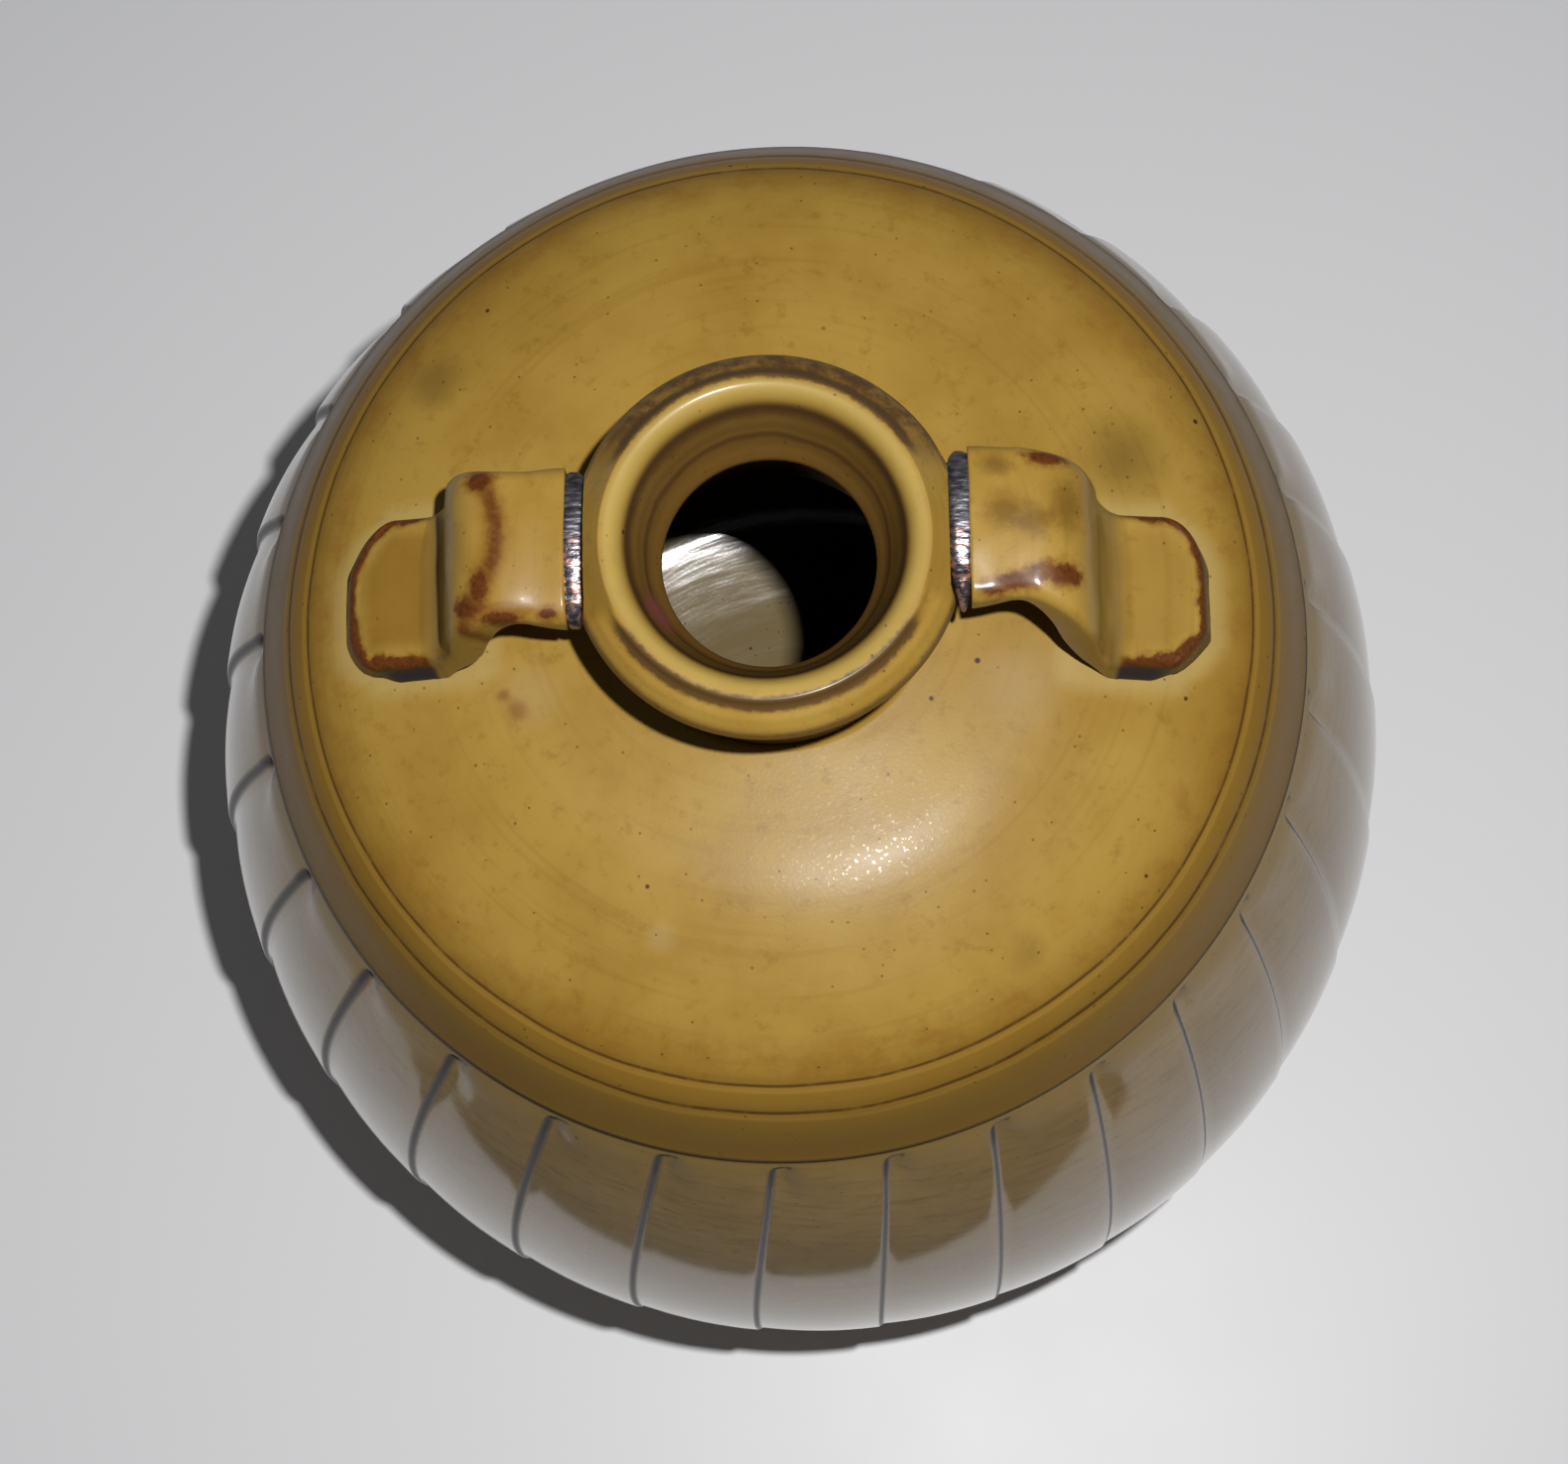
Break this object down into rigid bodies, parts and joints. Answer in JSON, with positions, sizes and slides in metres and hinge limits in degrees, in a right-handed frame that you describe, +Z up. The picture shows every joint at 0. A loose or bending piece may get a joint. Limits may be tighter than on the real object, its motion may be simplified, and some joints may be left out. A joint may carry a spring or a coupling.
{
  "type": "two-handled vase",
  "caption": "Round-bellied stoneware vase with a narrow collar, two strap handles, a domed shoulder and a fluted body on a foot ring.",
  "frame": {"origin": "on the table under the middle of the foot ring, at the centre of the bounding box's lower face", "axes": "+Z up along the wheel axis, +X through the right handle, the pictured view is from -Y and above"},
  "size_m": [0.1606, 0.1606, 0.1851],
  "materials": {
    "bare_foot": "unglazed toasted stoneware, matt",
    "body_glaze": "glossy ochre ash glaze over carved flutes",
    "shoulder_glaze": "glossy ochre ash glaze with iron specks",
    "collar_glaze": "glossy ochre glaze, brown where it pools",
    "handle_glaze": "glossy ochre glaze, breaking rust brown on edges",
    "gunmetal_glaze": "pooled dark metallic glaze with fine crinkles"
  },
  "bodies": {
    "root": {"foot_ring": "bare_foot", "fluted_body": "body_glaze", "shoulder": "shoulder_glaze", "neck_collar": "collar_glaze", "left_handle": "handle_glaze", "right_handle": "handle_glaze", "left_joint_bead": "gunmetal_glaze", "right_joint_bead": "gunmetal_glaze"}
  },
  "joints": []
}
